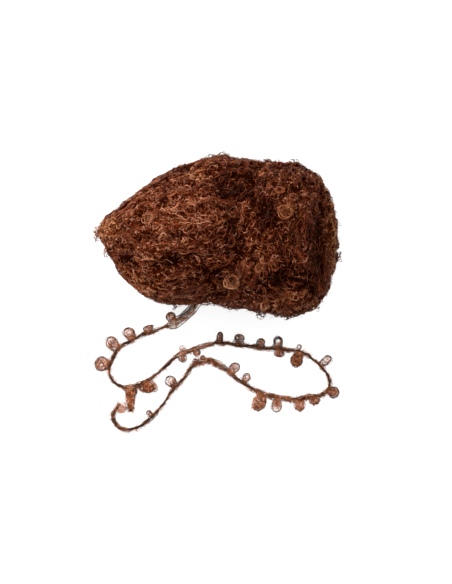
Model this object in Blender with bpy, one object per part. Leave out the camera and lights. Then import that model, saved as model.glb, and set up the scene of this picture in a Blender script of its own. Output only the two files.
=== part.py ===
"""Hand-wound ball of mohair boucle yarn, lying on a table with its loose end laid out before it.

The frame has +X to the ball's blunt end, +Y to its back and +Z up, in metres. The origin is on the
table, under the middle of the ball. Tables are in millimetres and degrees, as their columns say.
"""

import math

import bmesh
import bpy
import numpy as np
from mathutils import Vector

MM = 0.001
TOUCH_GAP = 0.3 * MM  # between two pieces that touch on the real yarn

# The ball's sections from its pointed end to its blunt end, over the crests of the turns.
# Columns: place along the ball (x), front (y), back (y), underside (z), top (z), in mm.
# The first and last rows are the ends, where the section closes to a point.
BALL_SECTIONS = (
    (-66.0, 3.0, 3.0, 27.0, 27.0),
    (-63.5, -2.0, 8.0, 22.5, 32.0),
    (-56.5, -16.0, 14.5, 13.0, 42.0),
    (-46.0, -28.0, 23.0, 4.5, 52.0),
    (-32.5, -36.5, 32.5, -0.5, 59.5),
    (-17.0, -37.5, 39.5, -2.0, 64.0),
    (0.0, -37.0, 44.5, -2.0, 63.5),
    (17.0, -40.5, 42.5, -2.0, 61.0),
    (33.0, -44.5, 41.5, -2.0, 61.0),
    (46.5, -42.5, 39.5, 0.5, 57.5),
    (57.0, -34.5, 31.5, 7.5, 49.0),
    (63.5, -18.0, 20.0, 17.5, 39.0),
    (66.0, 0.0, 2.0, 28.0, 28.0),
)
FACE_CUTS = 22  # cuts along each edge of the cube that the ball is rounded from
FLAT_FADE = 7 * MM  # the relief is pressed flat within this height of the table

# The cocoon is the lobe of lengthwise turns, from the pointed end to the waist.
COCOON_CENTRE = Vector((-24, -6, 34)) * MM
COCOON_RADII = (47 * MM, 42 * MM, 48 * MM)
COCOON_LINE = (3 * MM, 27 * MM)  # y and z of the line that its bundles run along
COCOON_LEAN = 5.0  # radians that a bundle turns round that line, for each metre along it
TIP_FADE = 14 * MM  # the bundles run together within this distance of that line
WAIST_DEPTH = 4.5 * MM
WAIST_WIDTH = 0.10  # share of the cocoon's radii
LOBE_BLEND = 0.08  # share of the cocoon's radii over which its turns give way to the other lobe's

BUNDLE_DEPTH = 3.2 * MM  # from a bundle's crest to the hollow beside it

# Bundles of the cocoon, with a deep valley left open high on the front, between the 8th and the 9th.
# Columns: angle round the line, from its back over its top, half width, in degrees, share of the depth.
COCOON_BUNDLES = (
    (4, 10, 0.95),
    (22, 9, 0.8),
    (40, 9.5, 1.0),
    (57, 8.5, 0.75),
    (73, 9, 0.95),
    (89, 8.5, 0.8),
    (105, 9, 1.0),
    (120, 8, 0.85),
    (145, 8.5, 0.85),
    (161, 9, 1.0),
    (178, 9, 0.8),
    (196, 10, 0.95),
    (215, 10, 0.75),
    (234, 10, 0.9),
    (254, 10, 0.8),
    (274, 10, 0.95),
    (294, 10, 0.8),
    (313, 10, 0.9),
    (332, 9.5, 0.8),
    (348, 8, 0.7),
)

# Hoops wound crosswise round the blunt lobe.
# Columns: where the hoop passes (x, z), in mm, yaw and lean, in degrees, half width, in mm, share.
CROSS_HOOPS = (
    (12.0, 40.0, 14, 12, 5.0, 0.85),
    (22.0, 32.0, 10, 10, 5.0, 0.9),
    (31.0, 32.0, -16, -8, 5.5, 1.0),
    (40.0, 30.0, 9, 14, 5.0, 0.85),
    (49.0, 30.0, -10, 4, 4.5, 0.9),
)

# Belts wound round the rim of the ball, over its other turns.
# Columns: height where the belt passes (z), in mm, rise to +X and to +Y, in degrees, half width, share.
RIM_BELTS = (
    (14.0, 5, -4, 4.5, 0.9),
    (23.5, -4, 5, 5.0, 1.0),
    (33.5, 6, 3, 4.5, 0.85),
)
BELT_START = -58 * MM  # the belts come out from under the cocoon's tip here
BELT_FADE = 14 * MM

# Hollows where the turns part.
# Columns: middle (x, y, z), radii (x, y, z), all in mm, depth, in mm.
HOLLOWS = (
    (10, 15, 58, 10, 5, 12, 3.0),
    (30, 5, 60, 5, 8, 12, 3.0),
    (33, -33, 49, 11, 7, 8, 2.5),
    (55, -3, 47, 5, 22, 10, 3.0),
    (-52, -16, 41, 9, 5, 7, 2.0),
)

# The loose end, from the ball's flank along the table to its free end.
# Columns: the route's points (x, y, z), in mm.
TAIL_ROUTE = (
    (-10.5, -28.8, 10.9),
    (-13.2, -33.5, 8.2),
    (-16.8, -38.2, 5.8),
    (-21.2, -41.8, 4.3),
    (-26.5, -44.2, 3.2),
    (-34.0, -46.5, 2.2),
    (-44.5, -50.5, 1.7),
    (-53.5, -56.5, 1.6),
    (-58.0, -61.0, 1.6),
    (-60.0, -68.0, 1.6),
    (-59.5, -73.0, 1.6),
    (-56.0, -77.5, 1.6),
    (-48.5, -79.5, 1.6),
    (-41.0, -77.0, 1.6),
    (-34.5, -72.5, 1.8),
    (-26.0, -64.5, 2.0),
    (-20.0, -60.0, 1.8),
    (-8.0, -55.5, 1.6),
    (7.0, -54.0, 1.6),
    (22.5, -56.5, 1.6),
    (38.0, -57.5, 1.6),
    (50.5, -62.0, 1.6),
    (59.0, -69.5, 1.8),
    (61.5, -77.0, 1.8),
    (58.0, -82.5, 1.6),
    (51.5, -84.5, 1.6),
    (38.5, -85.5, 1.6),
    (25.0, -83.0, 1.6),
    (12.5, -75.5, 1.6),
    (1.0, -67.0, 1.6),
    (-6.0, -64.5, 1.8),
    (-14.0, -67.5, 1.8),
    (-19.5, -74.5, 1.6),
    (-28.0, -85.0, 1.6),
    (-36.0, -95.0, 1.6),
    (-43.0, -101.0, 1.6),
    (-50.0, -102.5, 1.6),
    (-56.0, -100.5, 1.6),
    (-57.5, -94.0, 1.6),
    (-54.0, -88.5, 1.6),
)
TAIL_DIAMETER = 1.6 * MM
TAIL_POINTS = 80
CURVE_STEPS = 24  # steps between two points of the route, where its length is measured

# The boucle's curls that stand off the loose end, each a closed loop of its fancy thread.
# Columns: distance from the free end, side (1 is left of the way to the free end), length along the
# cord, width across it, in mm, and tilt up from the table, in degrees.
CURLS = (
    (349.0, -1, 6.2, 6.2, 20),
    (334.5, -1, 7.2, 3.0, 10),
    (324.5, -1, 7.4, 7.4, -5),
    (314.3, -1, 8.4, 8.6, 4),
    (304.5, -1, 9.4, 7.8, -6),
    (284.4, -1, 6.0, 10.5, 4),
    (275.4, -1, 6.6, 6.4, 22),
    (248.0, 1, 4.6, 3.0, 20),
    (241.5, -1, 5.0, 4.4, 12),
    (227.0, 1, 4.2, 5.8, 30),
    (217.0, 1, 6.2, 4.4, 20),
    (204.5, 1, 5.0, 4.6, 35),
    (195.0, 1, 5.6, 5.8, 28),
    (194.0, -1, 6.2, 4.8, 15),
    (183.8, 1, 3.6, 3.8, 5),
    (182.6, -1, 7.8, 7.6, -5),
    (168.5, 1, 5.4, 6.8, 10),
    (154.0, 1, 7.0, 6.0, 8),
    (145.0, 1, 7.2, 3.8, 12),
    (136.5, 1, 7.0, 7.0, 18),
    (125.0, 1, 6.7, 7.4, -5),
    (116.2, 1, 9.0, 9.2, -4),
    (104.0, -1, 5.0, 5.2, 24),
    (95.0, -1, 6.2, 6.4, -4),
    (78.0, -1, 3.4, 2.8, 15),
    (74.3, -1, 3.6, 3.2, 45),
    (57.5, -1, 6.8, 6.8, 15),
    (36.0, -1, 3.6, 3.2, 20),
)
CURL_THREAD = 1.0 * MM
CURL_STEPS = 14
CURL_SIDES = 5

# Colours are linear red, green, blue and opacity.
BALL_COLOUR = (0.085, 0.022, 0.008, 1.0)
CORD_COLOUR = (0.11, 0.030, 0.012, 1.0)
CURL_COLOUR = (0.24, 0.085, 0.040, 1.0)
MOHAIR_ROUGHNESS = 0.55


def clear_scene():
    """Remove the objects of the file that the script runs in."""
    for other in list(bpy.data.objects):
        bpy.data.objects.remove(other, do_unlink=True)


def mohair(name, colour):
    """Plain mohair of one colour."""
    material = bpy.data.materials.new(name)
    material.use_nodes = True
    shader = material.node_tree.nodes["Principled BSDF"]
    shader.inputs["Base Color"].default_value = colour
    shader.inputs["Roughness"].default_value = MOHAIR_ROUGHNESS
    shader.inputs["Metallic"].default_value = 0.0
    return material


def add_object(name, data, material):
    """Link new data to the scene under its part's name."""
    data.materials.append(material)
    part = bpy.data.objects.new(name, data)
    bpy.context.scene.collection.objects.link(part)
    return part


def smooth_between(before, start, end, after, share):
    """Catmull-Rom curve from start to end."""
    return 0.5 * (
        2 * start
        + (end - before) * share
        + (2 * before - 5 * start + 4 * end - after) * share**2
        + (3 * start - before - 3 * end + after) * share**3
    )


def ball_section(share):
    """Middle (x, y, z) and half sizes (y, z) of the ball, from its pointed end, 0, to its blunt end, 1."""
    rows = np.array(BALL_SECTIONS) * MM
    middles = np.column_stack((rows[:, 0], (rows[:, 1] + rows[:, 2]) / 2, (rows[:, 3] + rows[:, 4]) / 2))
    halves = np.column_stack(((rows[:, 2] - rows[:, 1]) / 2, (rows[:, 4] - rows[:, 3]) / 2))
    middles = np.vstack((middles[1], middles, middles[-2]))
    halves = np.vstack((-halves[1], halves, -halves[-2]))
    place = share * (len(rows) - 1)
    row = min(int(place), len(rows) - 2)
    middle = smooth_between(*middles[row:row + 4], place - row)
    half = smooth_between(*halves[row:row + 4], place - row)
    return middle, half


def ball_point(direction):
    """Point of the ball without its relief, in a direction from its middle."""
    middle, half = ball_section(math.acos(-direction.x) / math.pi)
    across = math.hypot(direction.y, direction.z)
    if across < 1e-9:
        return Vector(middle)
    return Vector((
        middle[0],
        middle[1] + half[0] * direction.y / across,
        middle[2] + half[1] * direction.z / across,
    ))


def crest(offset, half_width):
    """Round crest of a bundle: 1 on its middle line, 0 at its edges."""
    share = abs(offset) / half_width
    return math.sqrt(1 - share**2) if share < 1 else 0.0


def faded(value, start, width):
    """Rise smoothly from 0 at the start to 1 over the width."""
    share = min(max((value - start) / width, 0.0), 1.0)
    return share * share * (3 - 2 * share)


def cocoon_place(point):
    """Distance from the cocoon's middle, 1 at the waist."""
    from_middle = point - COCOON_CENTRE
    return math.hypot(*(offset / radius for offset, radius in zip(from_middle, COCOON_RADII)))


def cocoon_relief(point):
    """Height of the cocoon's lengthwise bundles, from 0 in a hollow to 1 on a crest."""
    y, z = point.y - COCOON_LINE[0], point.z - COCOON_LINE[1]
    angle = math.degrees(math.atan2(z, y) + COCOON_LEAN * (point.x - COCOON_CENTRE.x))
    height = 0.0
    for middle, half_width, share in COCOON_BUNDLES:
        offset = (angle - middle + 180) % 360 - 180
        height = max(height, share * crest(offset, half_width))
    tip = faded(math.hypot(y, z), 0.0, TIP_FADE)
    return 1 - tip * (1 - height)


def hoop_relief(point):
    """Height of the crosswise hoops of the blunt lobe."""
    height = 0.0
    for x, z, yaw, lean, half_width, share in CROSS_HOOPS:
        normal = Vector((1, math.tan(math.radians(yaw)), math.tan(math.radians(lean)))).normalized()
        offset = normal.dot(point - Vector((x, 0, z)) * MM)
        height = max(height, share * crest(offset, half_width * MM))
    return height


def belt_relief(point):
    """Height of the belts round the rim."""
    height = 0.0
    for z, rise_x, rise_y, half_width, share in RIM_BELTS:
        normal = Vector((-math.tan(math.radians(rise_x)), -math.tan(math.radians(rise_y)), 1)).normalized()
        offset = normal.dot(point - Vector((0, 0, z)) * MM)
        height = max(height, share * crest(offset, half_width * MM))
    return height * faded(point.x, BELT_START, BELT_FADE)


def sinking(point):
    """Depth below the crests at a point of the ball's plain surface."""
    place = cocoon_place(point)
    blunt = faded(place, 1 - LOBE_BLEND, 2 * LOBE_BLEND)
    lobe = (1 - blunt) * cocoon_relief(point) + blunt * hoop_relief(point)
    depth = BUNDLE_DEPTH * (1 - max(lobe, belt_relief(point)))
    depth += WAIST_DEPTH * math.exp(-((place - 1) / WAIST_WIDTH) ** 2) * faded(point.z, 25 * MM, 20 * MM)
    for row in HOLLOWS:
        from_middle = (point - Vector(row[0:3]) * MM) / MM
        reach = sum((offset / radius) ** 2 for offset, radius in zip(from_middle, row[3:6]))
        depth += row[6] * MM * math.exp(-reach)
    return depth * faded(point.z, 0.0, FLAT_FADE)


def make_ball(material):
    """The wound ball: one closed body with its bundles raised and a flat spot that it rests on."""
    bm = bmesh.new()
    bmesh.ops.create_cube(bm, size=2.0)
    bmesh.ops.subdivide_edges(bm, edges=bm.edges[:], cuts=FACE_CUTS, use_grid_fill=True)
    for vert in bm.verts:
        even = Vector([math.tan(side * math.pi / 4) for side in vert.co])
        vert.co = ball_point(even.normalized())
    bm.normal_update()
    sunk = [vert.co - vert.normal * sinking(vert.co) for vert in bm.verts]
    for vert, point in zip(bm.verts, sunk):
        vert.co = (point.x, point.y, max(point.z, 0.0))
    for axis in (0, 1):
        places = [vert.co[axis] for vert in bm.verts]
        middle = (min(places) + max(places)) / 2
        for vert in bm.verts:
            vert.co[axis] -= middle
    bmesh.ops.recalc_face_normals(bm, faces=bm.faces[:])
    mesh = bpy.data.meshes.new("yarn_ball")
    bm.to_mesh(mesh)
    bm.free()
    mesh.shade_smooth()
    return add_object("yarn_ball", mesh, material)


def tail_curve():
    """Dense points of the smooth curve through the route, and their distances along it."""
    route = np.array(TAIL_ROUTE) * MM
    ends = (2 * route[0] - route[1], 2 * route[-1] - route[-2])
    route = np.vstack((ends[0], route, ends[1]))
    points = [
        smooth_between(*route[start:start + 4], step / CURVE_STEPS)
        for start in range(len(route) - 3)
        for step in range(CURVE_STEPS)
    ]
    points = np.array(points + [route[-2]])
    steps = np.linalg.norm(np.diff(points, axis=0), axis=1)
    return points, np.concatenate(([0.0], np.cumsum(steps)))


def along_tail(curve, distance):
    """Point of the loose end at a distance along it."""
    points, distances = curve
    return Vector([np.interp(distance, distances, points[:, axis]) for axis in range(3)])


def make_tail(curve, material):
    """The loose end's cord: a tube along the route, closed at both ends."""
    tube = bpy.data.curves.new("loose_end", "CURVE")
    tube.dimensions = "3D"
    tube.bevel_depth = TAIL_DIAMETER / 2
    tube.bevel_resolution = 2
    tube.use_fill_caps = True
    spline = tube.splines.new("POLY")
    spline.points.add(TAIL_POINTS - 1)
    for point, distance in zip(spline.points, np.linspace(0.0, curve[1][-1], TAIL_POINTS)):
        point.co = (*along_tail(curve, distance), 1.0)
    return add_object("loose_end", tube, material)


def make_curl(number, row, curve, material):
    """One curl of the boucle: a closed loop of thread that starts beside the cord."""
    from_end, side, length, width, tilt = row
    distance = curve[1][-1] - from_end * MM
    start = along_tail(curve, distance)
    ahead = (along_tail(curve, distance + MM) - along_tail(curve, distance - MM)).normalized()
    beside = Vector((0, 0, 1)).cross(ahead).normalized() * side
    tilted = beside * math.cos(math.radians(tilt)) + Vector((0, 0, math.sin(math.radians(tilt))))
    upright = ahead.cross(tilted).normalized()
    thread = CURL_THREAD / 2
    half_length, half_width = length * MM / 2 - thread, width * MM / 2 - thread
    middle = start + tilted * (TAIL_DIAMETER / 2 + TOUCH_GAP + width * MM / 2)
    bm = bmesh.new()
    rings = []
    for step in range(CURL_STEPS):
        turn = 2 * math.pi * step / CURL_STEPS
        out = ahead * math.cos(turn) + tilted * math.sin(turn)
        line = middle + ahead * half_length * math.cos(turn) + tilted * half_width * math.sin(turn)
        ring = []
        for place in range(CURL_SIDES):
            around = 2 * math.pi * place / CURL_SIDES
            ring.append(bm.verts.new(line + thread * (out * math.cos(around) + upright * math.sin(around))))
        rings.append(ring)
    for step, ring in enumerate(rings):
        after = rings[(step + 1) % CURL_STEPS]
        for place in range(CURL_SIDES):
            beyond = (place + 1) % CURL_SIDES
            bm.faces.new((ring[place], ring[beyond], after[beyond], after[place]))
    bmesh.ops.recalc_face_normals(bm, faces=bm.faces[:])
    mesh = bpy.data.meshes.new(f"curl_{number:02d}")
    bm.to_mesh(mesh)
    bm.free()
    mesh.shade_smooth()
    return add_object(mesh.name, mesh, material)


def main():
    """Make every part of the ball of yarn."""
    clear_scene()
    make_ball(mohair("ball_mohair", BALL_COLOUR))
    curve = tail_curve()
    make_tail(curve, mohair("cord_mohair", CORD_COLOUR))
    curl_mohair = mohair("curl_mohair", CURL_COLOUR)
    for number, row in enumerate(CURLS, start=1):
        make_curl(number, row, curve, curl_mohair)


main()
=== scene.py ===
"""Looks of a hand-wound ball of dark brown mohair boucle, with its curly loose end before it."""

import math
from typing import NamedTuple

import bmesh
import bpy
import numpy as np
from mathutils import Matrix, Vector, noise
from mathutils.bvhtree import BVHTree


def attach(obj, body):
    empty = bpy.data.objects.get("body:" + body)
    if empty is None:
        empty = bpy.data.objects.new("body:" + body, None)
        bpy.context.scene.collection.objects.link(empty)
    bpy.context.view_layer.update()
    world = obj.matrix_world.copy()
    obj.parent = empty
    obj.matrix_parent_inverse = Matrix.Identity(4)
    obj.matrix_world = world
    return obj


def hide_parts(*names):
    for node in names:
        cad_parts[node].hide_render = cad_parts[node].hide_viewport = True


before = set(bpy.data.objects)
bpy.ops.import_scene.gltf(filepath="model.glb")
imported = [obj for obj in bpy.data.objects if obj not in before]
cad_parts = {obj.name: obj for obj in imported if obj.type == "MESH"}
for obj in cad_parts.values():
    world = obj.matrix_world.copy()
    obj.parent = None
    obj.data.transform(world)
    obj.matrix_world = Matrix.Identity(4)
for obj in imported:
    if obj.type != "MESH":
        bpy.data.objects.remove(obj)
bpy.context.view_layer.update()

MM = 0.001
UP = np.array((0.0, 0.0, 1.0))

# Where the ball's turns run, in metres. The pointed lobe's turns share a line from its tip.
TIP = np.array((-84.0, 3.0, 29.0)) * MM
WAIST_X = 8 * MM
BALL_MIDDLE = np.array((2.0, 0.0, 31.0)) * MM

# The crease between the lobes lies on an ellipsoid; loose curls fill part of its depth.
CREASE_MIDDLE = np.array((-24.0, -6.0, 34.0)) * MM
CREASE_RADII = np.array((47.0, 42.0, 48.0)) * MM
CREASE_WIDTH = 0.11
CREASE_FILL = 2.4 * MM
LUMP_HEIGHT = 0.9 * MM

# The loose end. The route's points are those of the CAD tube, in mm.
TAIL_ROUTE = (
    (-10.5, -28.8, 10.9), (-13.2, -33.5, 8.2), (-16.8, -38.2, 5.8), (-21.2, -41.8, 4.3),
    (-26.5, -44.2, 3.2), (-34.0, -46.5, 2.2), (-44.5, -50.5, 1.7), (-53.5, -56.5, 1.6),
    (-58.0, -61.0, 1.6), (-60.0, -68.0, 1.6), (-59.5, -73.0, 1.6), (-56.0, -77.5, 1.6),
    (-48.5, -79.5, 1.6), (-41.0, -77.0, 1.6), (-34.5, -72.5, 1.8), (-26.0, -64.5, 2.0),
    (-20.0, -60.0, 1.8), (-8.0, -55.5, 1.6), (7.0, -54.0, 1.6), (22.5, -56.5, 1.6),
    (38.0, -57.5, 1.6), (50.5, -62.0, 1.6), (59.0, -69.5, 1.8), (61.5, -77.0, 1.8),
    (58.0, -82.5, 1.6), (51.5, -84.5, 1.6), (38.5, -85.5, 1.6), (25.0, -83.0, 1.6),
    (12.5, -75.5, 1.6), (1.0, -67.0, 1.6), (-6.0, -64.5, 1.8), (-14.0, -67.5, 1.8),
    (-19.5, -74.5, 1.6), (-28.0, -85.0, 1.6), (-36.0, -95.0, 1.6), (-43.0, -101.0, 1.6),
    (-50.0, -102.5, 1.6), (-56.0, -100.5, 1.6), (-57.5, -94.0, 1.6), (-54.0, -88.5, 1.6),
)

# The camera looks along +Y and down at a point of the table.
CAMERA_TARGET = Vector((4.4, -24.3, 0.0)) * MM
CAMERA_DISTANCE = 0.91
CAMERA_ELEVATION = math.radians(75)
CAMERA_LENS = 100


class Patch(NamedTuple):
    """A patch of the ball's upper side that is darker, lighter or more golden; mm and degrees."""
    x: float
    y: float
    half_length: float
    half_width: float
    turn: float
    tone: float
    gold: float
    lift: float = 0.0


# The patches with a negative tone are painted shade in the pockets and creases of the upper side, where the strokes
# also sink; the broad lighter patches at (-22, 8) and (-28, -4) are painted light on the pointed lobe's lit top.
PATCHES = (
    Patch(-49, -16.5, 5, 2.8, -20, -0.40, 0.0, 0.4),
    Patch(-35, -19, 7, 2.4, -8, 0.10, 0.0, 2.2),
    Patch(-24, -21.5, 5.5, 2.6, 14, -0.34, 0.0, 1.0),
    Patch(-11, -25, 4, 2.4, 8, -0.30, 0.0, 1.6),
    Patch(9.8, 14, 7, 3.6, -10, -0.52, 0.0),
    Patch(27.5, 1.5, 4.5, 4.5, 20, -0.60, 0.0),
    Patch(55, 4, 7, 3.4, 80, -0.26, 0.0),
    Patch(53, -20, 9, 3.6, 100, -0.36, 0.0),
    Patch(55, -3, 22, 5, 90, 0.0, 0.0, 1.9),
    Patch(32, -31, 9, 3.4, 5, -0.46, 0.0),
    Patch(-1.5, -31, 6, 4, 80, -0.22, 0.0),
    Patch(-44, -5, 6, 3.5, 10, -0.14, 0.0),
    Patch(-22, 8, 15, 9, 10, 0.14, 0.1),
    Patch(-28, -4, 16, 6, 0, 0.12, 0.0),
    Patch(-4, 3, 10, 10, 0, 0.05, 0.0),
    Patch(35.5, 4, 4.5, 4, 0, 0.26, 0.5),
    Patch(21, -6, 8, 7, 30, 0.04, 0.0),
    Patch(22.5, -25, 6, 4, 0, 0.16, 0.2),
    Patch(-44, -27, 13, 3.4, -38, 0.10, 0.6),
    Patch(46, -38, 10, 4, 20, -0.04, 0.3),
    Patch(61, -6, 24, 4, 90, 0.30, 0.8),
    Patch(30, -41, 22, 3.4, 0, 0.16, 0.2),
    Patch(7.5, -1, 9, 2.2, 88, -0.18, 0.0),
    Patch(5.5, -14, 8, 2.2, 80, -0.18, 0.0),
    Patch(-14, 3.5, 11, 1.3, 14, -0.22, 0.0),
    Patch(-31, 9, 10, 1.2, 24, -0.18, 0.0),
    Patch(-42, -8.5, 9, 1.2, 2, -0.18, 0.0),
    Patch(-13, -9, 12, 1.3, -4, -0.20, 0.0),
    Patch(0, 22, 9, 2.4, 20, -0.24, 0.0),
    Patch(4, 30, 24, 7, 0, -0.10, 0.2),
    Patch(-60, 1, 6, 6, 0, 0.16, 0.7),
    Patch(-39, 22, 20, 3.5, 35, -0.14, 0.0),
)


class Ring(NamedTuple):
    """A curl of the boucle that shows whole on the ball: its middle, radius, facing and shade."""
    middle: tuple
    radius: float
    facing: tuple
    tone: float
    gold: float
    outline: int = 4


RINGS = (
    Ring((7.5, -31.0, 46.9), 3.7, (0.0, -0.5, 0.85), 0.80, 0.4, 8),
    Ring((36.0, 3.2, 60.3), 3.7, (0.1, 0.0, 1.0), 0.64, 0.6),
    Ring((-37.0, 1.0, 57.5), 2.9, (-0.4, 0.0, 0.9), 0.72, 0.2),
    Ring((3.2, 40.0, 42.2), 3.1, (0.0, -0.26, 0.97), 0.16, 0.0),
    Ring((-3.6, 40.0, 41.4), 3.1, (0.0, -0.26, 0.97), 0.20, 0.0),
    Ring((22.0, -25.5, 53.8), 2.4, (0.0, -0.4, 0.9), 0.66, 0.2),
    Ring((40.0, 12.0, 58.5), 2.4, (0.3, 0.1, 0.9), 0.58, 0.2),
    Ring((33.0, 16.0, 59.0), 2.2, (0.0, 0.3, 0.9), 0.60, 0.1),
    Ring((-63.0, 0.5, 33.5), 3.0, (-0.5, -0.1, 0.85), 0.74, 0.5),
    Ring((-14.0, 4.5, 63.0), 3.4, (0.0, 0.0, 1.0), 0.70, 0.1),
)


class Tuft(NamedTuple):
    """A lump of curls that stands out of the ball's outline; mm."""
    middle: tuple
    spread: float
    count: int
    tone: float


TUFTS = (
    Tuft((-63.0, 0.5, 31.0), 2.3, 90, 0.60),
    Tuft((-25.0, 32.6, 38.0), 1.4, 34, 0.30),
    Tuft((-17.5, 34.6, 38.0), 1.4, 34, 0.30),
    Tuft((-8.0, 36.5, 40.0), 1.7, 34, 0.50),
    Tuft((15.0, 38.5, 38.0), 1.6, 26, 0.44),
    Tuft((27.0, 38.5, 37.0), 1.4, 26, 0.40),
    Tuft((43.0, 37.5, 36.0), 1.9, 34, 0.36),
    Tuft((59.0, 21.0, 34.0), 2.0, 36, 0.34),
    Tuft((63.0, 8.0, 30.0), 1.3, 20, 0.44),
    Tuft((64.0, -12.0, 28.0), 1.4, 22, 0.46),
    Tuft((52.0, -37.0, 24.0), 1.9, 30, 0.40),
    Tuft((37.0, -42.5, 23.0), 1.8, 30, 0.36),
    Tuft((24.0, -42.5, 24.0), 1.6, 26, 0.34),
    Tuft((10.0, -37.5, 24.0), 1.5, 24, 0.36),
    Tuft((-3.0, -35.5, 25.0), 1.5, 24, 0.36),
    Tuft((-24.0, -37.0, 25.0), 1.6, 26, 0.40),
    Tuft((-59.0, -9.0, 30.0), 1.4, 26, 0.44),
)


class Bunch(NamedTuple):
    """A stretch where the loose end is thicker: its middle and half length along it in mm."""
    place: float
    half: float
    wider: float
    tangle: int
    tone: float = 0.6


BUNCHES = (
    Bunch(3, 5, 1.6, 36, 0.3),
    Bunch(12, 13, 2.3, 130, 1.0),
    Bunch(22, 4, 1.6, 30, 0.4),
    Bunch(37.7, 5, 1.1, 18),
    Bunch(56, 6, 0.6, 12),
    Bunch(66, 8, 0.8, 18),
    Bunch(87, 4.0, 1.6, 90, 0.5),
    Bunch(93, 6, 1.4, 54),
    Bunch(112, 8, 0.7, 14),
    Bunch(124, 7, 1.3, 60),
    Bunch(134, 6, 1.1, 42),
    Bunch(145, 4, 0.6, 18, 0.3),
    Bunch(155, 4, 0.9, 30, 0.35),
    Bunch(166, 5, 1.3, 42, 0.35),
    Bunch(179, 5, 1.3, 42, 0.5),
    Bunch(189, 5, 0.8, 24, 0.5),
    Bunch(215, 4, 0.5, 8, 0.4),
    Bunch(228, 9, 1.4, 84),
    Bunch(240, 7, 1.4, 84),
    Bunch(249, 6, 1.4, 76),
    Bunch(257, 5, 1.2, 36),
    Bunch(268, 4, 0.8, 18, 0.4),
    Bunch(279, 6, 1.2, 36),
    Bunch(288, 8, 1.9, 170),
    Bunch(296, 4, 1.4, 60),
    Bunch(303, 4, 0.8, 14, 0.4),
    Bunch(313, 5, 1.1, 30),
    Bunch(335, 4, 1.0, 22, 0.4),
    Bunch(355, 9, 0.8, 40, 0.6),
    Bunch(364, 7, 1.1, 24, 0.85),
)


class Curl(NamedTuple):
    """The fibres of one curl of the loose end: its outline, its pale veil and its brown mass.

    reach is how far the mass goes: 1 to the curl's middle, 2 to its far side.
    foot is how far apart the outline's ends stand, as a share of the curl's half width.
    """
    outline: int
    tone: float
    veil: int
    mass: int
    reach: float
    mass_tone: float
    foot: float = 0.6


CURLS = {
    "curl_01": Curl(10, 0.24, 20, 80, 1.9, 0.60),
    "curl_02": Curl(9, 0.18, 20, 70, 1.9, 0.50),
    "curl_03": Curl(8, 0.22, 90, 34, 1.2, 0.50),
    "curl_04": Curl(7, 0.24, 84, 44, 1.4, 0.52),
    "curl_05": Curl(10, 0.34, 60, 76, 1.9, 0.64),
    "curl_06": Curl(4, 0.44, 60, 230, 2.5, 0.53),
    "curl_07": Curl(12, 0.34, 28, 150, 1.9, 0.53),
    "curl_08": Curl(3, 0.55, 4, 8, 1.3, 0.60),
    "curl_09": Curl(7, 0.36, 14, 54, 1.9, 0.58),
    "curl_10": Curl(14, 0.10, 10, 64, 1.8, 0.42, 1.5),
    "curl_11": Curl(9, 0.14, 2, 100, 1.9, 0.30, 1.3),
    "curl_12": Curl(8, 0.12, 2, 84, 1.9, 0.34, 1.9),
    "curl_13": Curl(15, 0.08, 40, 30, 1.2, 0.36, 1.3),
    "curl_14": Curl(6, 0.30, 2, 90, 1.9, 0.44),
    "curl_15": Curl(4, 0.30, 16, 6, 0.7, 0.50),
    "curl_16": Curl(14, 0.20, 14, 230, 1.9, 0.42),
    "curl_17": Curl(9, 0.30, 50, 14, 1.0, 0.50),
    "curl_18": Curl(10, 0.28, 50, 100, 1.8, 0.50),
    "curl_19": Curl(4, 0.45, 10, 110, 2.2, 0.50),
    "curl_20": Curl(3, 0.55, 40, 110, 2.1, 0.56),
    "curl_21": Curl(6, 0.32, 60, 60, 1.4, 0.54),
    "curl_22": Curl(6, 0.34, 50, 160, 1.9, 0.54),
    "curl_23": Curl(8, 0.26, 44, 30, 1.3, 0.54),
    "curl_24": Curl(9, 0.30, 64, 34, 1.2, 0.52),
    "curl_25": Curl(4, 0.35, 2, 30, 1.7, 0.54),
    "curl_26": Curl(4, 0.30, 2, 30, 1.7, 0.50),
    "curl_27": Curl(8, 0.24, 70, 36, 1.2, 0.54),
    "curl_28": Curl(6, 0.26, 8, 24, 1.6, 0.44),
}

# Curls too faint or too matted for a solid of their own: middle and half width in mm.
MATTED_CURLS = (
    ((-47.7, -81.4, 1.8), 3.2, Curl(10, 0.18, 14, 90, 1.9, 0.52)),
    ((-19.5, -62.6, 1.8), 2.3, Curl(5, 0.30, 8, 48, 1.9, 0.50)),
    ((-41.5, -79.8, 1.8), 2.2, Curl(4, 0.40, 8, 36, 1.9, 0.58)),
    ((-35.8, -79.2, 1.8), 2.6, Curl(4, 0.60, 40, 30, 1.9, 0.70)),
    ((-53.6, -90.4, 1.5), 3.3, Curl(3, 0.80, 70, 10, 1.9, 0.80)),
)


# Shapes from lines of points

def wander(rng, count, knot):
    """Smooth random values with a spread of about 1, a knot every few steps."""
    knots = rng.normal(size=int(count / knot) + 5)
    place = np.arange(count) / knot + rng.random()
    low = place.astype(int)
    share = place - low
    share = share * share * (3 - 2 * share)
    return knots[low] * (1 - share) + knots[low + 1] * share


def ripples(rng, count, steps, waves):
    """A smooth random curve for each strand, with a spread of about 1 and so many waves along it."""
    place = np.linspace(0, 1, steps)[None, :]
    total = np.zeros((count, steps))
    for share in (0.55, 1.0, 1.7):
        start = rng.uniform(0, 2 * np.pi, size=(count, 1))
        total += np.sin(2 * np.pi * waves * share * place + start)
    return total * 0.8


def unit(vectors):
    """The same directions at length 1."""
    return vectors / np.maximum(np.linalg.norm(vectors, axis=-1, keepdims=True), 1e-12)


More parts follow.
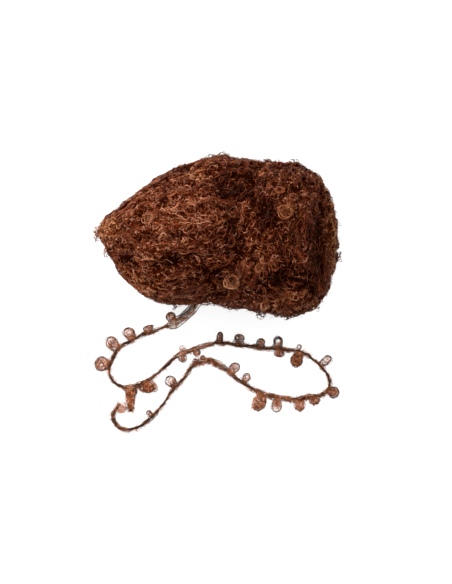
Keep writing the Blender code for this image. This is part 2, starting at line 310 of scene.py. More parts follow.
def tube_rings(lines, radii, across, sides):
    """Rings of vertices round lines of points: lines and across are (strands, points, 3)."""
    ahead = unit(np.gradient(lines, axis=1))
    first = unit(np.cross(ahead, across))
    second = np.cross(first, ahead)
    turn = 2 * np.pi * np.arange(sides) / sides
    around = (
        first[:, :, None, :] * np.cos(turn)[None, None, :, None]
        + second[:, :, None, :] * np.sin(turn)[None, None, :, None]
    )
    return lines[:, :, None, :] + around * radii[:, :, None, None]


class Strands:
    """Gathers tubes into one mesh, with a tone and a golden share for each point."""

    def __init__(self):
        self.points, self.quads, self.caps = [], [], []
        self.shades = {"tone": [], "gold": []}
        self.count = 0

    def add(self, lines, radii, across, tones, gold=0.0, sides=3):
        """Add a group of strands with the same number of points."""
        strands, steps = lines.shape[:2]
        rings = tube_rings(lines, radii, np.broadcast_to(across, lines.shape), sides)
        ids = self.count + np.arange(strands * steps * sides).reshape(strands, steps, sides)
        after = np.roll(ids, -1, axis=2)
        quads = np.stack((ids[:, :-1], after[:, :-1], after[:, 1:], ids[:, 1:]), axis=-1)
        self.points.append(rings.reshape(-1, 3))
        self.quads.append(quads.reshape(-1, 4))
        for cap in (ids[:, 0, ::-1], ids[:, -1]):
            for corner in range(1, sides - 1):
                self.caps.append(cap[:, (0, corner, corner + 1)])
        for name, values in (("tone", tones), ("gold", gold)):
            self.shades[name].append(np.repeat(np.broadcast_to(values, (strands, steps)).ravel(), sides))
        self.count += strands * steps * sides

    def triangles(self):
        """Triangles of all the strands."""
        return 2 * sum(map(len, self.quads)) + sum(map(len, self.caps))

    def build(self, name, material):
        """Make one smooth mesh object of all the strands."""
        quads, caps = np.concatenate(self.quads), np.concatenate(self.caps)
        mesh = bpy.data.meshes.new(name)
        mesh.vertices.add(self.count)
        points = np.concatenate(self.points)
        points[:, 2] = np.maximum(points[:, 2], 0.0)
        mesh.vertices.foreach_set("co", points.ravel())
        mesh.loops.add(quads.size + caps.size)
        mesh.loops.foreach_set("vertex_index", np.concatenate((quads.ravel(), caps.ravel())).astype(np.int32))
        mesh.polygons.add(len(quads) + len(caps))
        starts = np.concatenate((4 * np.arange(len(quads)), quads.size + 3 * np.arange(len(caps))))
        mesh.polygons.foreach_set("loop_start", starts.astype(np.int32))
        mesh.polygons.foreach_set("use_smooth", np.ones(len(starts), bool))
        mesh.update(calc_edges=True)
        for shade, values in self.shades.items():
            attribute = mesh.attributes.new(shade, "FLOAT", "POINT")
            attribute.data.foreach_set("value", np.concatenate(values).astype(np.float32))
        print(name, self.triangles())
        return add_piece(name, mesh, material)


def add_piece(name, data, material):
    """Link a piece of the object to the scene; it rides on the only body."""
    data.materials.clear()
    data.materials.append(material)
    piece = bpy.data.objects.new(name, data)
    bpy.context.scene.collection.objects.link(piece)
    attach(piece, "root")
    return piece


# Materials

GOLDEN_TINT = (1.10, 1.26, 0.80, 1.0)


def node(tree, kind, **values):
    """Add a node and set its plain properties."""
    new = tree.nodes.new(kind)
    for key, value in values.items():
        setattr(new, key, value)
    return new


def mohair(name, colours, roughness, sheen, specular, grain, bump):
    """Mohair whose colour follows the strand's tone, streaked by a fine noise with a bump.

    colours are (place, linear colour) from the deepest fibres, darkest as painted shade, to the glossiest, lightest
    as painted highlights.
    """
    material = bpy.data.materials.new(name)
    material.use_nodes = True
    tree = material.node_tree
    shader = tree.nodes["Principled BSDF"]
    shader.inputs["Roughness"].default_value = roughness
    shader.inputs["Sheen Weight"].default_value = sheen
    shader.inputs["Sheen Roughness"].default_value = 0.4
    shader.inputs["Sheen Tint"].default_value = (1.0, 0.45, 0.28, 1.0)
    shader.inputs["Specular IOR Level"].default_value = specular
    shader.inputs["Specular Tint"].default_value = (1.0, 0.66, 0.50, 1.0)
    place = node(tree, "ShaderNodeTexCoord")
    tone = node(tree, "ShaderNodeAttribute", attribute_name="tone")
    gold = node(tree, "ShaderNodeAttribute", attribute_name="gold")
    streaks = node(tree, "ShaderNodeTexNoise")
    streaks.inputs["Scale"].default_value = grain
    streaks.inputs["Detail"].default_value = 3
    streaks.inputs["Roughness"].default_value = 0.6
    mix = node(tree, "ShaderNodeMath", operation="MULTIPLY_ADD")
    mix.inputs[1].default_value = 1.3
    centred = node(tree, "ShaderNodeMath", operation="SUBTRACT")
    centred.inputs[1].default_value = 0.65
    ramp = node(tree, "ShaderNodeValToRGB")
    ramp.color_ramp.elements[0].position, ramp.color_ramp.elements[0].color = colours[0]
    ramp.color_ramp.elements[1].position, ramp.color_ramp.elements[1].color = colours[-1]
    for position, colour in colours[1:-1]:
        ramp.color_ramp.elements.new(position).color = colour
    golden = node(tree, "ShaderNodeMix", data_type="RGBA", blend_type="MULTIPLY")
    golden.inputs[7].default_value = GOLDEN_TINT
    relief = node(tree, "ShaderNodeBump")
    relief.inputs["Strength"].default_value = bump
    relief.inputs["Distance"].default_value = 0.3 * MM
    link = tree.links.new
    link(place.outputs["Object"], streaks.inputs["Vector"])
    link(streaks.outputs["Fac"], mix.inputs[0])
    link(tone.outputs["Fac"], mix.inputs[2])
    link(mix.outputs[0], centred.inputs[0])
    link(centred.outputs[0], ramp.inputs["Fac"])
    link(gold.outputs["Fac"], golden.inputs[0])
    link(ramp.outputs["Color"], golden.inputs[6])
    link(golden.outputs[2], shader.inputs["Base Color"])
    link(streaks.outputs["Fac"], relief.inputs["Height"])
    link(relief.outputs["Normal"], shader.inputs["Normal"])
    return material


# The skin's mohair is near-black, darker than any strand: painted shade of the fibres deep in the ball.
DEEP_SHADE = mohair(
    "deep_shade_mohair",
    ((0.0, (0.006, 0.0008, 0.0002, 1)), (0.35, (0.022, 0.003, 0.0006, 1)), (0.75, (0.085, 0.014, 0.0035, 1))),
    roughness=0.9, sheen=0.0, specular=0.0, grain=1100, bump=1.0,
)
WOUND = mohair(
    "wound_mohair",
    (
        (0.0, (0.016, 0.0020, 0.0003, 1)),
        (0.3, (0.052, 0.0065, 0.0011, 1)),
        (0.55, (0.135, 0.0235, 0.0055, 1)),
        (0.8, (0.25, 0.071, 0.027, 1)),
        (1.0, (0.46, 0.195, 0.120, 1)),
    ),
    roughness=0.45, sheen=0.0, specular=0.15, grain=1700, bump=0.5,
)
CORD = mohair(
    "cord_mohair",
    (
        (0.0, (0.012, 0.0045, 0.0022, 1)),
        (0.5, (0.078, 0.027, 0.010, 1)),
        (0.8, (0.20, 0.100, 0.060, 1)),
        (1.0, (0.52, 0.41, 0.35, 1)),
    ),
    roughness=0.5, sheen=0.0, specular=0.2, grain=1500, bump=0.6,
)
CURL = mohair(
    "curl_mohair",
    (
        (0.0, (0.016, 0.0055, 0.0025, 1)),
        (0.35, (0.105, 0.0255, 0.0078, 1)),
        (0.65, (0.27, 0.062, 0.0150, 1)),
        (1.0, (0.60, 0.260, 0.138, 1)),
    ),
    roughness=0.5, sheen=0.0, specular=0.2, grain=1500, bump=0.3,
)


# The ball

def smooth_ball():
    """Mesh of the ball's solid, welded and subdivided once."""
    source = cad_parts["yarn_ball"].data
    bm = bmesh.new()
    bm.from_mesh(source)
    bmesh.ops.remove_doubles(bm, verts=bm.verts[:], dist=1e-6)
    mesh = bpy.data.meshes.new("ball_skin")
    bm.to_mesh(mesh)
    bm.free()
    plain = bpy.data.objects.new("plain_ball", mesh)
    bpy.context.scene.collection.objects.link(plain)
    finer = plain.modifiers.new("finer", "SUBSURF")
    finer.levels = finer.render_levels = 1
    fine = bpy.data.meshes.new_from_object(plain.evaluated_get(bpy.context.evaluated_depsgraph_get()))
    bpy.data.objects.remove(plain)
    fine.name = "ball_skin"
    points = np.array([vertex.co for vertex in fine.vertices])
    normals = np.array([vertex.normal for vertex in fine.vertices])
    points += normals * skin_lift(points, normals)[:, None]
    points[:, 2] = np.maximum(points[:, 2], 0.0)
    fine.vertices.foreach_set("co", points.ravel())
    fine.update()
    return fine


def slow_noise(points, scale, offset):
    """Smooth noise at points of the ball, between about -1 and 1."""
    return np.array([noise.noise(Vector(point) * scale + Vector((offset, 0, 0))) for point in points])


def nearness(patch, points, normals):
    """1 at the middle of a patch of the upper side, falling off round it."""
    turn = math.radians(patch.turn)
    aside = points[:, :2] / MM - np.array((patch.x, patch.y))
    along = aside[:, 0] * math.cos(turn) + aside[:, 1] * math.sin(turn)
    across = aside[:, 1] * math.cos(turn) - aside[:, 0] * math.sin(turn)
    upper = np.clip(0.5 + 2 * normals[:, 2], 0, 1)
    return np.exp(-0.5 * ((along / patch.half_length) ** 2 + (across / patch.half_width) ** 2)) * upper


def skin_lift(points, normals):
    """Height of the skin over the ball's solid: its lumps, and the fill of its creases."""
    place = np.linalg.norm((points - CREASE_MIDDLE) / CREASE_RADII, axis=1)
    above = np.clip((points[:, 2] - 6 * MM) / (14 * MM), 0, 1)
    lift = CREASE_FILL * np.exp(-((place - 1) / CREASE_WIDTH) ** 2)
    lift += LUMP_HEIGHT * (slow_noise(points, 170, 3) + 0.5 * slow_noise(points, 380, 5))
    for patch in PATCHES:
        if patch.lift:
            lift += patch.lift * MM * nearness(patch, points, normals)
    return lift * above


BALL_MESH = smooth_ball()
BALL_POINTS = np.array([vertex.co for vertex in BALL_MESH.vertices])
SURFACE = BVHTree.FromPolygons(
    [vertex.co for vertex in BALL_MESH.vertices],
    [polygon.vertices for polygon in BALL_MESH.polygons],
)


def on_surface(points):
    """Nearest points of the ball's surface, and its normals there."""
    found = [SURFACE.find_nearest(Vector(point)) for point in points.reshape(-1, 3)]
    spots = np.array([spot[0] for spot in found]).reshape(points.shape)
    normals = np.array([spot[1] for spot in found]).reshape(points.shape)
    return spots, normals


def area_spots(rng, count):
    """Random points of the ball's surface with their normals, even by area, fewer underneath."""
    BALL_MESH.calc_loop_triangles()
    corners = BALL_POINTS[np.array([triangle.vertices for triangle in BALL_MESH.loop_triangles])]
    cross = np.cross(corners[:, 1] - corners[:, 0], corners[:, 2] - corners[:, 0])
    areas = np.linalg.norm(cross, axis=1)
    normals = unit(cross)
    weights = areas * np.clip(1.15 + normals[:, 2], 0.3, 1.0)
    chosen = rng.choice(len(areas), size=count, p=weights / weights.sum())
    first, second = rng.random((2, count, 1))
    flip = first + second > 1
    first, second = np.where(flip, 1 - first, first), np.where(flip, 1 - second, second)
    corner = corners[chosen]
    spots = corner[:, 0] + first * (corner[:, 1] - corner[:, 0]) + second * (corner[:, 2] - corner[:, 0])
    return spots, normals[chosen]


def blunt_share(spots):
    """0 on the pointed lobe, 1 on the blunt one."""
    return 1 / (1 + np.exp(-(spots[..., :1] - WAIST_X) / (5 * MM)))


def flow_at(spots, normals):
    """Direction in which the turns run at points of the ball."""
    lengthwise = unit(spots - TIP)
    crosswise = np.cross(normals, np.array((1.0, 0.15, 0.1)))
    rim = np.cross(normals, UP)
    share = blunt_share(spots)
    low = 1 / (1 + np.exp((spots[..., 2:3] - 26 * MM) / (3 * MM)))
    facing = np.sign((rim * lengthwise).sum(-1, keepdims=True))
    flow = (1 - share) * lengthwise + share * crosswise
    flow = (1 - 0.8 * low) * flow + 0.8 * low * rim * facing
    flow -= normals * (flow * normals).sum(-1, keepdims=True)
    return unit(flow)


def shade_at(spots, normals):
    """Change of tone and golden share at points of the ball, from its patches and a slow noise; it holds painted
    shade in pockets and creases and on the blunt lobe, and painted light on the pointed lobe's top.
    """
    tones = 0.12 * slow_noise(spots, 120, 0) + 0.28 * slow_noise(spots, 260, 7)
    # The blunt lobe is darker: painted shade of the lobe that slopes away from the key light.
    tones -= 0.11 * blunt_share(spots)[:, 0]
    gold = 0.5 * slow_noise(spots, 110, 9)
    for patch in PATCHES:
        near = nearness(patch, spots, normals)
        tones += patch.tone * near
        gold += patch.gold * near
    return tones[:, None], np.clip(gold, 0, 1)[:, None]


class Family(NamedTuple):
    """A family of short strokes of fibre on the ball; mm and degrees."""
    count: int
    fibres: int
    steps: int
    radius: float
    length: tuple
    bend: tuple
    lift: float
    rise: tuple
    spread: float
    tilt: float
    tone: float
    tone_spread: float


# Each family's tone rises with its lift: the low, dark families are painted shade of the deep mass, and the light
# strokes on top are painted highlights.
MATTED = Family(3600, 1, 6, 0.30, (2.5, 5.5), (30, 190), -0.35, (0.2, 0.8), 34, 5, 0.34, 0.19)
COILED = Family(3500, 1, 7, 0.20, (3.0, 6.5), (190, 450), -0.15, (0.3, 1.3), 50, 16, 0.46, 0.22)
CURVED = Family(4000, 1, 7, 0.175, (2.5, 5.5), (80, 270), 0.0, (0.5, 1.8), 42, 22, 0.52, 0.20)
HIGHLIGHTS = Family(2900, 1, 7, 0.13, (2.0, 5.0), (60, 280), 0.1, (0.8, 2.2), 46, 28, 0.75, 0.24)
LOCKS = Family(150, 3, 10, 0.19, (6.0, 12.0), (60, 260), 0.3, (0.8, 1.8), 40, 8, 0.56, 0.16)
TUFTED = Family(0, 1, 8, 0.20, (3.0, 6.5), (120, 420), 0.2, (0.5, 1.6), 90, 30, 0.0, 0.16)
TANGLED = Family(0, 1, 5, 0.17, (1.8, 4.2), (40, 260), 0.0, (0.2, 0.8), 90, 20, 0.6, 0.28)
VEIL = Family(0, 1, 5, 0.075, (2.0, 5.0), (40, 240), 0.0, (0.1, 0.5), 90, 10, 0.82, 0.14)


def bend_strokes(rng, family, spots, normals, ahead, sunk):
    """Points, radii and heights of a family's strokes, in a group for each parallel fibre."""
    count, steps = len(spots), family.steps
    side = np.cross(normals, ahead)
    place = np.linspace(0, 1, steps)[None, :]
    bend = np.radians(rng.uniform(*family.bend, size=(count, 1))) * rng.choice((-1, 1), size=(count, 1))
    angle = bend * (place - 0.5) + 0.35 * ripples(rng, count, steps, 1.2)
    step = rng.uniform(*family.length, size=(count, 1)) * MM / (steps - 1)
    forward = np.cumsum(np.cos(angle) * step, axis=1)
    sideways = np.cumsum(np.sin(angle) * step, axis=1)
    forward -= forward.mean(axis=1, keepdims=True)
    sideways -= sideways.mean(axis=1, keepdims=True)
    tilt = np.radians(rng.normal(0, family.tilt, size=(count, 1)))
    rise = rng.uniform(*family.rise, size=(count, 1)) * MM
    taper = np.sin(np.pi * (0.08 + 0.84 * place)) ** 0.5
    for fibre in range(family.fibres):
        apart = 0.0
        if family.fibres > 1:
            apart = 0.42 * MM * (fibre - (family.fibres - 1) / 2) + 0.2 * MM * ripples(rng, count, steps, 1.2)
        height = family.lift * MM - sunk + rise * (np.sin(np.pi * place) ** 0.7 - 0.35) + sideways * np.sin(tilt)
        aside = sideways * np.cos(tilt) + apart * np.cos(angle)
        points = (
            spots[:, None] + ahead[:, None] * (forward - apart * np.sin(angle))[..., None]
            + side[:, None] * aside[..., None] + normals[:, None] * height[..., None]
        )
        radii = family.radius * MM * rng.uniform(0.7, 1.3, size=(count, 1)) * taper
        radii = radii * (1 + 0.15 * ripples(rng, count, steps, 2))
        points[..., 2] = np.maximum(points[..., 2], radii)
        yield points, radii, height


def lay_strokes(rng, strands, family, places=None):
    """Lay a family's strokes over the ball: each bends, rises out of the mass and dives back."""
    spots, normals = places or area_spots(rng, family.count)
    count, steps = len(spots), family.steps
    flow = flow_at(spots, normals)
    side = np.cross(normals, flow)
    heading = rng.normal(size=count) * np.radians(family.spread) * (1 + 0.8 * blunt_share(spots)[:, 0])
    ahead = flow * np.cos(heading)[:, None] + side * np.sin(heading)[:, None]
    shade, gold = shade_at(spots, normals)
    sunk = np.clip(-shade, 0, 0.5) * 2.0 * MM
    own_tone = family.tone_spread * rng.normal(size=(count, 1))
    own_gold = np.clip(gold + 0.15 * rng.normal(size=(count, 1)), 0, 1)
    for points, radii, height in bend_strokes(rng, family, spots, normals, ahead, sunk):
        # Lower fibres get a darker tone and higher ones a lighter: painted shade of the deep mass.
        tones = family.tone + own_tone + shade + 0.12 * (height / MM - 0.3)
        tones = tones + 0.10 * ripples(rng, count, steps, 1.5)
        strands.add(points, radii, normals[:, None], tones, own_gold)


def lay_tufts(rng, strands):
    """Lumps of curls that break the ball's outline."""
    for tuft in TUFTS:
        middle = np.array(tuft.middle) * MM
        spots = middle + np.clip(rng.normal(size=(tuft.count, 3)), -1.6, 1.6) * tuft.spread * MM
        normals = unit(spots - BALL_MIDDLE * 0.6 - middle * 0.4)
        lay_strokes(rng, strands, TUFTED._replace(tone=tuft.tone), (spots, normals))


def add_rings(rng, strands):
    """The curls that show whole on the ball: an outline of several fibres round a few bent ones."""
    steps, fibres = 22, 12
    for ring in RINGS:
        inner = np.arange(fibres)[:, None] >= ring.outline
        facing = unit(np.array(ring.facing))
        first = unit(np.cross(facing, (0.3, 1.0, 0.2)))
        second = np.cross(facing, first)
        begin = rng.uniform(0, 2 * np.pi, size=(fibres, 1))
        turn = begin + np.linspace(0, 1, steps) * np.where(
            inner, rng.uniform(1.5, 3.5, size=(fibres, 1)), rng.uniform(5.0, 7.0, size=(fibres, 1)))
        wide = np.where(
            inner, rng.uniform(0.25, 0.8, size=(fibres, 1)), rng.uniform(0.80, 1.06, size=(fibres, 1)))
        reach = ring.radius * MM * wide * (1 + 0.14 * ripples(rng, fibres, steps, 1))
        shift = rng.normal(size=(fibres, 3)) * np.where(inner, 0.22, 0.15)
        height = 0.25 * MM * ripples(rng, fibres, steps, 1) + np.where(inner, -0.3, 0.3) * MM
        points = (
            np.array(ring.middle) * MM + shift[:, None] * ring.radius * MM
            + first * (reach * np.cos(turn))[..., None]
            + second * (reach * np.sin(turn))[..., None] + facing * height[..., None]
        )
        radii = np.where(inner, 0.16, 0.15) * MM * np.ones((fibres, steps))
        tones = ring.tone + np.where(inner, -0.14, 0.08) + 0.12 * rng.normal(size=(fibres, 1))
        tones = tones + 0.10 * ripples(rng, fibres, steps, 2)
        strands.add(points, radii, facing, tones, ring.gold)


def lay_turns(rng, strands, count, steps, step, fibres, spacing, radius, lift, tone, rim=False):
    """Lay bundles of longer strands that follow the ball's turns."""
    spots, normals = area_spots(rng, count)
    if rim:
        angles = rng.uniform(0, 2 * np.pi, size=count)
        wanted = BALL_MIDDLE + np.stack((
            70 * MM * np.cos(angles), 50 * MM * np.sin(angles), rng.uniform(-22, 6, size=count) * MM,
        ), axis=1)
        spots = wanted
    spots, normals = on_surface(spots)
    heading = rng.normal(0, 0.25, size=count)
    line, above = [], []
    for _ in range(steps):
        line.append(spots)
        above.append(normals)
        flow = flow_at(spots, normals)
        side = np.cross(normals, flow)
        heading = np.clip(heading + rng.normal(0, 0.14, size=count), -0.6, 0.6)
        course = flow * np.cos(heading)[:, None] + side * np.sin(heading)[:, None]
        spots, normals = on_surface(spots + step * course)
    line, above = np.stack(line, axis=1), np.stack(above, axis=1)
    side = unit(np.cross(above, np.gradient(line, axis=1)))
    shade, gold = shade_at(line[:, steps // 2], above[:, steps // 2])
    place = np.linspace(0, 1, steps)[None, :]
    waves = steps * step / (7 * MM)
    for fibre in range(fibres):
        apart = spacing * (fibre - (fibres - 1) / 2 + 0.55 * ripples(rng, count, steps, waves))
        height = lift + 0.35 * MM * ripples(rng, count, steps, waves) + 0.9 * MM * (np.sin(np.pi * place) ** 0.4 - 1)
        points = line + side * apart[..., None] + above * height[..., None]
        radii = radius * (1 + 0.2 * ripples(rng, count, steps, waves)) * np.sin(np.pi * (0.06 + 0.88 * place)) ** 0.5
        points[..., 2] = np.maximum(points[..., 2], radii)
        # The turns take 0.7 of the painted shade and light of shade_at.
        tones = tone + 0.16 * rng.normal(size=(count, 1)) + 0.12 * ripples(rng, count, steps, waves) + 0.7 * shade
        strands.add(points, radii, above, tones, gold)


def flyaways(rng, strands, count):
    """Fine single fibres that stand off the ball as its halo."""
    steps = 5
    spots, normals = area_spots(rng, count)
    flow = flow_at(spots, normals)
    side = np.cross(normals, flow)
    turned = rng.uniform(0, 2 * np.pi, size=count)
    ahead = flow * np.cos(turned)[:, None] + side * np.sin(turned)[:, None]
    across = np.cross(normals, ahead)
    place = np.linspace(0, 1, steps)[None, :]
    length = rng.uniform(2.5, 7, size=(count, 1)) * MM
    bend = rng.normal(0, 0.9, size=(count, 1))
    bend = np.where(abs(bend) < 0.05, 0.05, bend)
    forward = length * np.sin(bend * place) / bend
    sideways = length * (1 - np.cos(bend * place)) / bend
    height = rng.uniform(0.4, 2.8, size=(count, 1)) ** 1.2 * MM * place ** 1.3
    points = (
        spots[:, None] + ahead[:, None] * forward[..., None]
        + across[:, None] * sideways[..., None] + normals[:, None] * height[..., None]
    )
    points[..., 2] = np.maximum(points[..., 2], 0.1 * MM)
    radii = 0.075 * MM * np.broadcast_to(1 - 0.5 * place, (count, steps))
    strands.add(points, radii, across[:, None], 0.55 + 0.3 * rng.normal(size=(count, 1)))


def dress_ball():
    """The ball's skin, near-black as painted shade of the fibres deep inside, its turns and its curls."""
    rng = np.random.default_rng(7)
    skin = add_piece("ball_skin", BALL_MESH, DEEP_SHADE)
    # The skin's tone takes the same painted shade and light of shade_at.
    shade, gold = shade_at(BALL_POINTS, np.array([vertex.normal for vertex in BALL_MESH.vertices]))
    for name, values in (("tone", 0.25 + shade), ("gold", gold)):
        attribute = BALL_MESH.attributes.new(name, "FLOAT", "POINT")
        attribute.data.foreach_set("value", values.ravel().astype(np.float32))
    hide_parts("yarn_ball")
    for name, family in (
        ("matted_strands", MATTED), ("coiled_strands", COILED), ("curved_strands", CURVED),
    ):
        strands = Strands()
        lay_strokes(rng, strands, family)
        strands.build(name, WOUND)
    turns = Strands()
    lay_turns(rng, turns, 170, 16, 1.3 * MM, 3, 0.7 * MM, 0.26 * MM, 0.6 * MM, 0.46)
    lay_turns(rng, turns, 44, 26, 1.4 * MM, 4, 0.75 * MM, 0.26 * MM, 1.1 * MM, 0.46, rim=True)
    lay_strokes(rng, turns, LOCKS)
    add_rings(rng, turns)
    turns.build("wound_turns", WOUND)
    # Light strokes as painted highlights, with the tufts and the flyaways.
    hairs = Strands()
    lay_strokes(rng, hairs, HIGHLIGHTS)
    lay_tufts(rng, hairs)
    flyaways(rng, hairs, 2000)
    hairs.build("highlight_and_fringe_fibres", WOUND)


# The loose end

def tail_line(step):
    """Points of the smooth curve through the route, evenly spaced."""
    route = np.array(TAIL_ROUTE) * MM
    route = np.vstack((2 * route[0] - route[1], route, 2 * route[-1] - route[-2]))
    points = []
    for start in range(len(route) - 3):
        before, low, high, after = route[start:start + 4]
        for share in np.arange(24) / 24:
            points.append(0.5 * (
                2 * low + (high - before) * share
                + (2 * before - 5 * low + 4 * high - after) * share**2
                + (3 * low - before - 3 * high + after) * share**3
            ))
    points = np.array(points + [route[-2]])
    places = np.concatenate(([0.0], np.cumsum(np.linalg.norm(np.diff(points, axis=0), axis=1))))
    wanted = np.linspace(0, places[-1], int(places[-1] / step) + 1)
    line = np.stack([np.interp(wanted, places, points[:, axis]) for axis in range(3)], axis=1)
    return line, places[-1]


def bunching(places):
    """How much thicker than its core the loose end's wrap of fibres is, at places along it in mm."""
    total = np.ones_like(places)
    for bunch in BUNCHES:
        total += bunch.wider * np.exp(-((places - bunch.place) / bunch.half) ** 2)
    return total


def dress_tail():
    """The loose end: a two-ply core, the fibres wrapped round it, its curls and its halo."""
    rng = np.random.default_rng(11)
    step = 0.6 * MM
    line, length = tail_line(step)
    count = len(line)
    places = np.linspace(0, length, count) / MM
    ahead = unit(np.gradient(line, axis=0))
    side = unit(np.cross(UP, ahead))
    above = np.cross(ahead, side)
    kinked = line + side * ((0.36 * wander(rng, count, 11) + 0.15 * wander(rng, count, 5)) * MM)[:, None]

    core = Strands()
    for ply, shade in enumerate((0.02, 0.34)):
        turn = 2 * np.pi * places / 5.2 + np.pi * ply + 0.6 * wander(rng, count, 9)
        reach = 0.32 * MM * (1 + 0.35 * wander(rng, count, 8))
        ply_line = kinked + (side * np.cos(turn)[:, None] + above * np.sin(turn)[:, None]) * reach[:, None]
        radii = 0.36 * MM * np.clip(1 + 0.22 * wander(rng, count, 6), 0.6, 1.4)
        radii[-18:] *= np.linspace(1, 0.35, 18)
        tones = shade + 0.16 * wander(rng, count, 9) + 0.5 * np.exp(-((places - 12) / 12) ** 2)
        core.add(ply_line[None], radii[None], side[None] * 0.4 + above[None], tones[None], sides=5)
    core_piece = core.build("loose_cord", CORD)

    wrap = Strands()
    width = bunching(places)
    first_stretch = int(26 * MM / step)
    for fibre in range(44):
        whole = fibre < 13
        dark = whole and fibre % 2 == 0
        last = count if whole else first_stretch
        part = slice(0, last)
        turn = rng.uniform(0, 2 * np.pi) + 1.4 * wander(rng, last, 14) + places[part] / rng.uniform(4, 12)
        reach = (0.36 + 0.40 * np.minimum(np.abs(wander(rng, last, 8)), 1.1)) * width[part] * MM
        reach *= (0.6 if dark else 1.0) if whole else rng.uniform(0.2, 1.0)
        offset = side[part] * (np.cos(turn) * reach)[:, None] + above[part] * (0.6 * np.sin(turn) * reach)[:, None]
        points = kinked[part] + offset
        if dark:
            points = points + UP * ((0.15 + 0.40 * wander(rng, last, 7)) * MM)[:, None]
        points = points[::2] if whole else points
        radii = (0.20 if dark else 0.13 if whole else 0.16) * MM * np.clip(1 + 0.3 * wander(rng, len(points), 6), 0.5, 1.5)
        points[:, 2] = np.maximum(points[:, 2], radii)
        tones = (0.04 if dark else 0.62 if whole else 1.15) + 0.12 * rng.normal() + 0.12 * wander(rng, len(points), 9)
        wrap.add(points[None], radii[None], UP + 0.01, tones[None])
    for edge in (-1, 1):
        reach = edge * (0.75 * width[:first_stretch] + 0.12 * wander(rng, first_stretch, 7)) * MM
        points = kinked[:first_stretch] + side[:first_stretch] * reach[:, None]
        radii = np.full(first_stretch, 0.28 * MM)
        wrap.add(points[None], radii[None], UP + 0.01, 0.06 + 0.1 * wander(rng, first_stretch, 7)[None])
    wrap_piece = wrap.build("loose_wrap", CORD)

    curls = Strands()
    tangle(rng, curls, kinked, places, side)
    for name, curl in CURLS.items():
        corners = np.array([vertex.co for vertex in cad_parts[name].data.vertices])
        add_curl(rng, curls, curl, kinked, corners)
    for middle, half, curl in MATTED_CURLS:
        turn = np.linspace(0, 2 * np.pi, 24, endpoint=False)[:, None]
        ring = np.hstack((np.cos(turn), np.sin(turn), 0 * turn)) * (half + 0.4)
        add_curl(rng, curls, curl, kinked, (np.array(middle) + ring) * MM)
    curl_piece = curls.build("loose_curls", CURL)

    halo = Strands()
    hairs, steps = 2000, 5
    at = rng.integers(0, count, size=hairs)
    place = np.linspace(0, 1, steps)[None, :]
    facing = rng.uniform(0, 2 * np.pi, size=hairs)
    out = side[at] * np.cos(facing)[:, None] + above[at] * (0.35 * np.sin(facing))[:, None]
    reach = rng.uniform(0.5, 1.9, size=(hairs, 1)) * MM
    run = rng.uniform(-3.5, 3.5, size=(hairs, 1)) * MM
    points = (
        kinked[at][:, None] + out[:, None] * (0.4 * MM + reach * np.sin(2.4 * place))[..., None]
        + ahead[at][:, None] * (run * place)[..., None]
    )
    points[..., 2] = np.maximum(points[..., 2], 0.06 * MM)
    radii = np.broadcast_to(0.11 * MM * (1 - 0.5 * place), (hairs, steps))
    across = np.cross(out, ahead[at])[:, None]
    halo.add(points, radii, across, 0.66 + 0.2 * rng.normal(size=(hairs, 1)))
    halo_piece = halo.build("loose_halo", CURL)

    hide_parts("loose_end")
    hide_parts(*CURLS)
    tuple(line[0])
    [tuple(point) for point in line]


def lay_flat(rng, strands, family, spots, normals, tone):
    """Lay a family's short bent fibres at spots of the loose end, heading any way."""
    facing = rng.uniform(0, 2 * np.pi, size=(len(spots), 1))
    first = unit(np.cross(normals, (0.3, 1.0, 0.2)))
    ahead = first * np.cos(facing) + np.cross(normals, first) * np.sin(facing)
    tones = tone + family.tone_spread * rng.normal(size=(len(spots), 1))
    for points, radii, _ in bend_strokes(rng, family, spots, normals, ahead, 0.0):
        strands.add(points, radii, normals[:, None], tones)


def tangle(rng, strands, line, places, side):
    """Short bent fibres that thicken the loose end where it bunches."""
    for bunch in BUNCHES:
        along = bunch.place + rng.normal(0, 0.5, size=bunch.tangle) * bunch.half
        at = np.clip(np.searchsorted(places, along), 0, len(line) - 1)
        aside = rng.normal(0, 0.28 * (1 + bunch.wider), size=(bunch.tangle, 1)) * MM
        spots = line[at] + side[at] * aside + UP * rng.uniform(-0.8, 0.5, size=(bunch.tangle, 1)) * MM
        lay_flat(rng, strands, TANGLED, spots, np.broadcast_to(UP, spots.shape), bunch.tone)


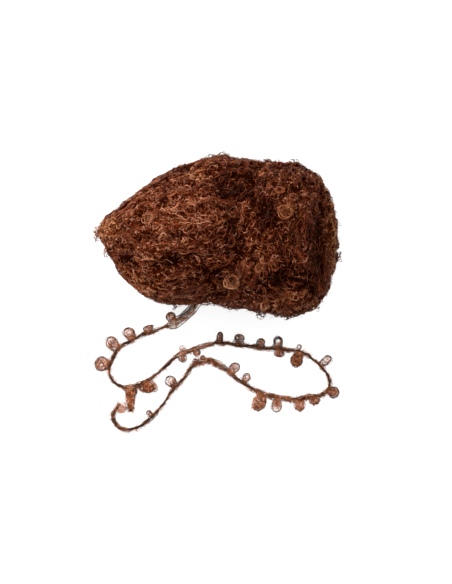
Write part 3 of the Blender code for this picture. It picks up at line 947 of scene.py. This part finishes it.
def add_curl(rng, strands, curl, line, corners):
    """One curl of the loose end, within the ring of corners: it starts and ends on the cord."""
    middle = (corners.min(0) + corners.max(0)) / 2
    start = line[np.linalg.norm(line - middle, axis=1).argmin()]
    inward = start - middle
    normal = np.linalg.svd(corners - corners.mean(0))[2][2]
    out = unit(-(inward - normal * (inward @ normal)))
    beside = np.cross(normal, out)
    half_out = abs((corners - middle) @ out).max() - 0.4 * MM
    half_beside = abs((corners - middle) @ beside).max() - 0.4 * MM
    steps = 20
    fade = np.clip(np.minimum(np.arange(steps), np.arange(steps)[::-1]) / 3, 0, 1)[:, None]
    for _ in range(curl.outline):
        angle = np.linspace(-1, 1, steps) * np.pi * rng.uniform(0.78, 1.06) + rng.normal(0, 0.08)
        waver = 1.03 - 0.10 * abs(rng.normal()) + 0.07 * wander(rng, steps, 6)
        points = (
            middle + rng.normal(0, 0.22, size=3) * MM
            + out * (half_out * np.cos(angle) * waver * rng.uniform(0.86, 1.04))[:, None]
            + beside * (half_beside * np.sin(angle) * waver * rng.uniform(0.82, 1.04))[:, None]
            + normal * (0.2 * MM * wander(rng, steps, 8))[:, None]
        )
        foot = beside * (np.sign(np.sin(angle)) * half_beside * curl.foot * rng.uniform(0.3, 1.3))[:, None]
        points = points * fade + (start + foot + rng.normal(0, 0.3, 3) * MM) * (1 - fade)
        radius = rng.uniform(0.09, 0.15) * MM
        points[:, 2] = np.maximum(points[:, 2], radius)
        tones = curl.tone - 0.10 + 0.12 * rng.normal() + 0.08 * wander(rng, steps, 6)
        strands.add(points[None], np.full((1, steps), radius), normal, tones[None])
    # Seven short arcs in the curl, about half at the lightest tone as painted glints.
    for _ in range(7):
        angle = rng.uniform(0, 2 * np.pi) + np.linspace(0, rng.uniform(1.0, 2.6), 9)
        scale = rng.uniform(0.3, 0.85)
        points = (
            middle + out * (half_out * scale * np.cos(angle))[:, None]
            + beside * (half_beside * scale * np.sin(angle))[:, None] + normal * rng.uniform(-0.3, 0.5) * MM
        )
        points[:, 2] = np.maximum(points[:, 2], 0.15 * MM)
        strands.add(points[None], np.full((1, 9), 0.17 * MM), normal, rng.choice((curl.tone, 1.0)))
    size = 1.1 * (half_out + half_beside) / MM
    far = middle + out * half_out * 0.9
    for family, fibres, reach, tone in (
        (VEIL, curl.veil, 1.8, VEIL.tone), (TANGLED, curl.mass, curl.reach, curl.mass_tone),
    ):
        along = rng.uniform(0, reach, size=(fibres, 1))
        room = np.sqrt(np.clip(1 - (along - 1) ** 2, 0.32, 1)) * half_beside
        spots = start + (far - start) * along / 2 + beside * rng.uniform(-0.75, 0.75, size=(fibres, 1)) * room
        spots += normal * rng.normal(0, 0.3, size=(fibres, 1)) * MM
        fitted = family._replace(length=(0.3 * size, 0.6 * size))
        lay_flat(rng, strands, fitted, spots, np.broadcast_to(normal, spots.shape), tone)


# The stage

def dress_stage():
    """A plain pale floor that glows like a light table, a soft key light from the left and an even sky."""
    mesh = bpy.data.meshes.new("floor")
    size = 3.0
    mesh.from_pydata([(-size, -size, 0), (size, -size, 0), (size, size, 0), (-size, size, 0)], [], [(0, 1, 2, 3)])
    floor = bpy.data.objects.new("floor", mesh)
    bpy.context.scene.collection.objects.link(floor)
    pale = bpy.data.materials.new("pale_floor")
    pale.use_nodes = True
    shader = pale.node_tree.nodes["Principled BSDF"]
    shader.inputs["Base Color"].default_value = (0.30, 0.30, 0.30, 1)
    shader.inputs["Roughness"].default_value = 0.9
    shader.inputs["Specular IOR Level"].default_value = 0.0
    shader.inputs["Emission Color"].default_value = (1, 1, 1, 1)
    shader.inputs["Emission Strength"].default_value = 0.80
    mesh.materials.append(pale)

    world = bpy.data.worlds.new("sky")
    world.use_nodes = True
    world.node_tree.nodes["Background"].inputs["Color"].default_value = (1, 1, 1, 1)
    world.node_tree.nodes["Background"].inputs["Strength"].default_value = 0.6
    bpy.context.scene.world = world

    for name, place, energy, width in (
        ("key", (-0.54, 0.28, 0.64), 16.0, 0.30),
        ("fill", (0.35, -0.35, 0.8), 4.0, 0.8),
    ):
        light = bpy.data.lights.new(name, "AREA")
        light.energy = energy
        light.size = width
        lamp = bpy.data.objects.new(name, light)
        lamp.location = place
        lamp.rotation_euler = (Vector((0, -0.03, 0.02)) - Vector(place)).to_track_quat("-Z", "Y").to_euler()
        bpy.context.scene.collection.objects.link(lamp)

    lens = bpy.data.cameras.new("camera")
    lens.lens = CAMERA_LENS
    camera = bpy.data.objects.new("camera", lens)
    away = Vector((0, -math.cos(CAMERA_ELEVATION), math.sin(CAMERA_ELEVATION)))
    camera.location = CAMERA_TARGET + away * CAMERA_DISTANCE
    camera.rotation_euler = (math.pi / 2 - CAMERA_ELEVATION, 0, 0)
    bpy.context.scene.collection.objects.link(camera)
    bpy.context.scene.camera = camera
    bpy.context.scene.view_settings.view_transform = "Standard"


dress_stage()
dress_tail()
dress_ball()
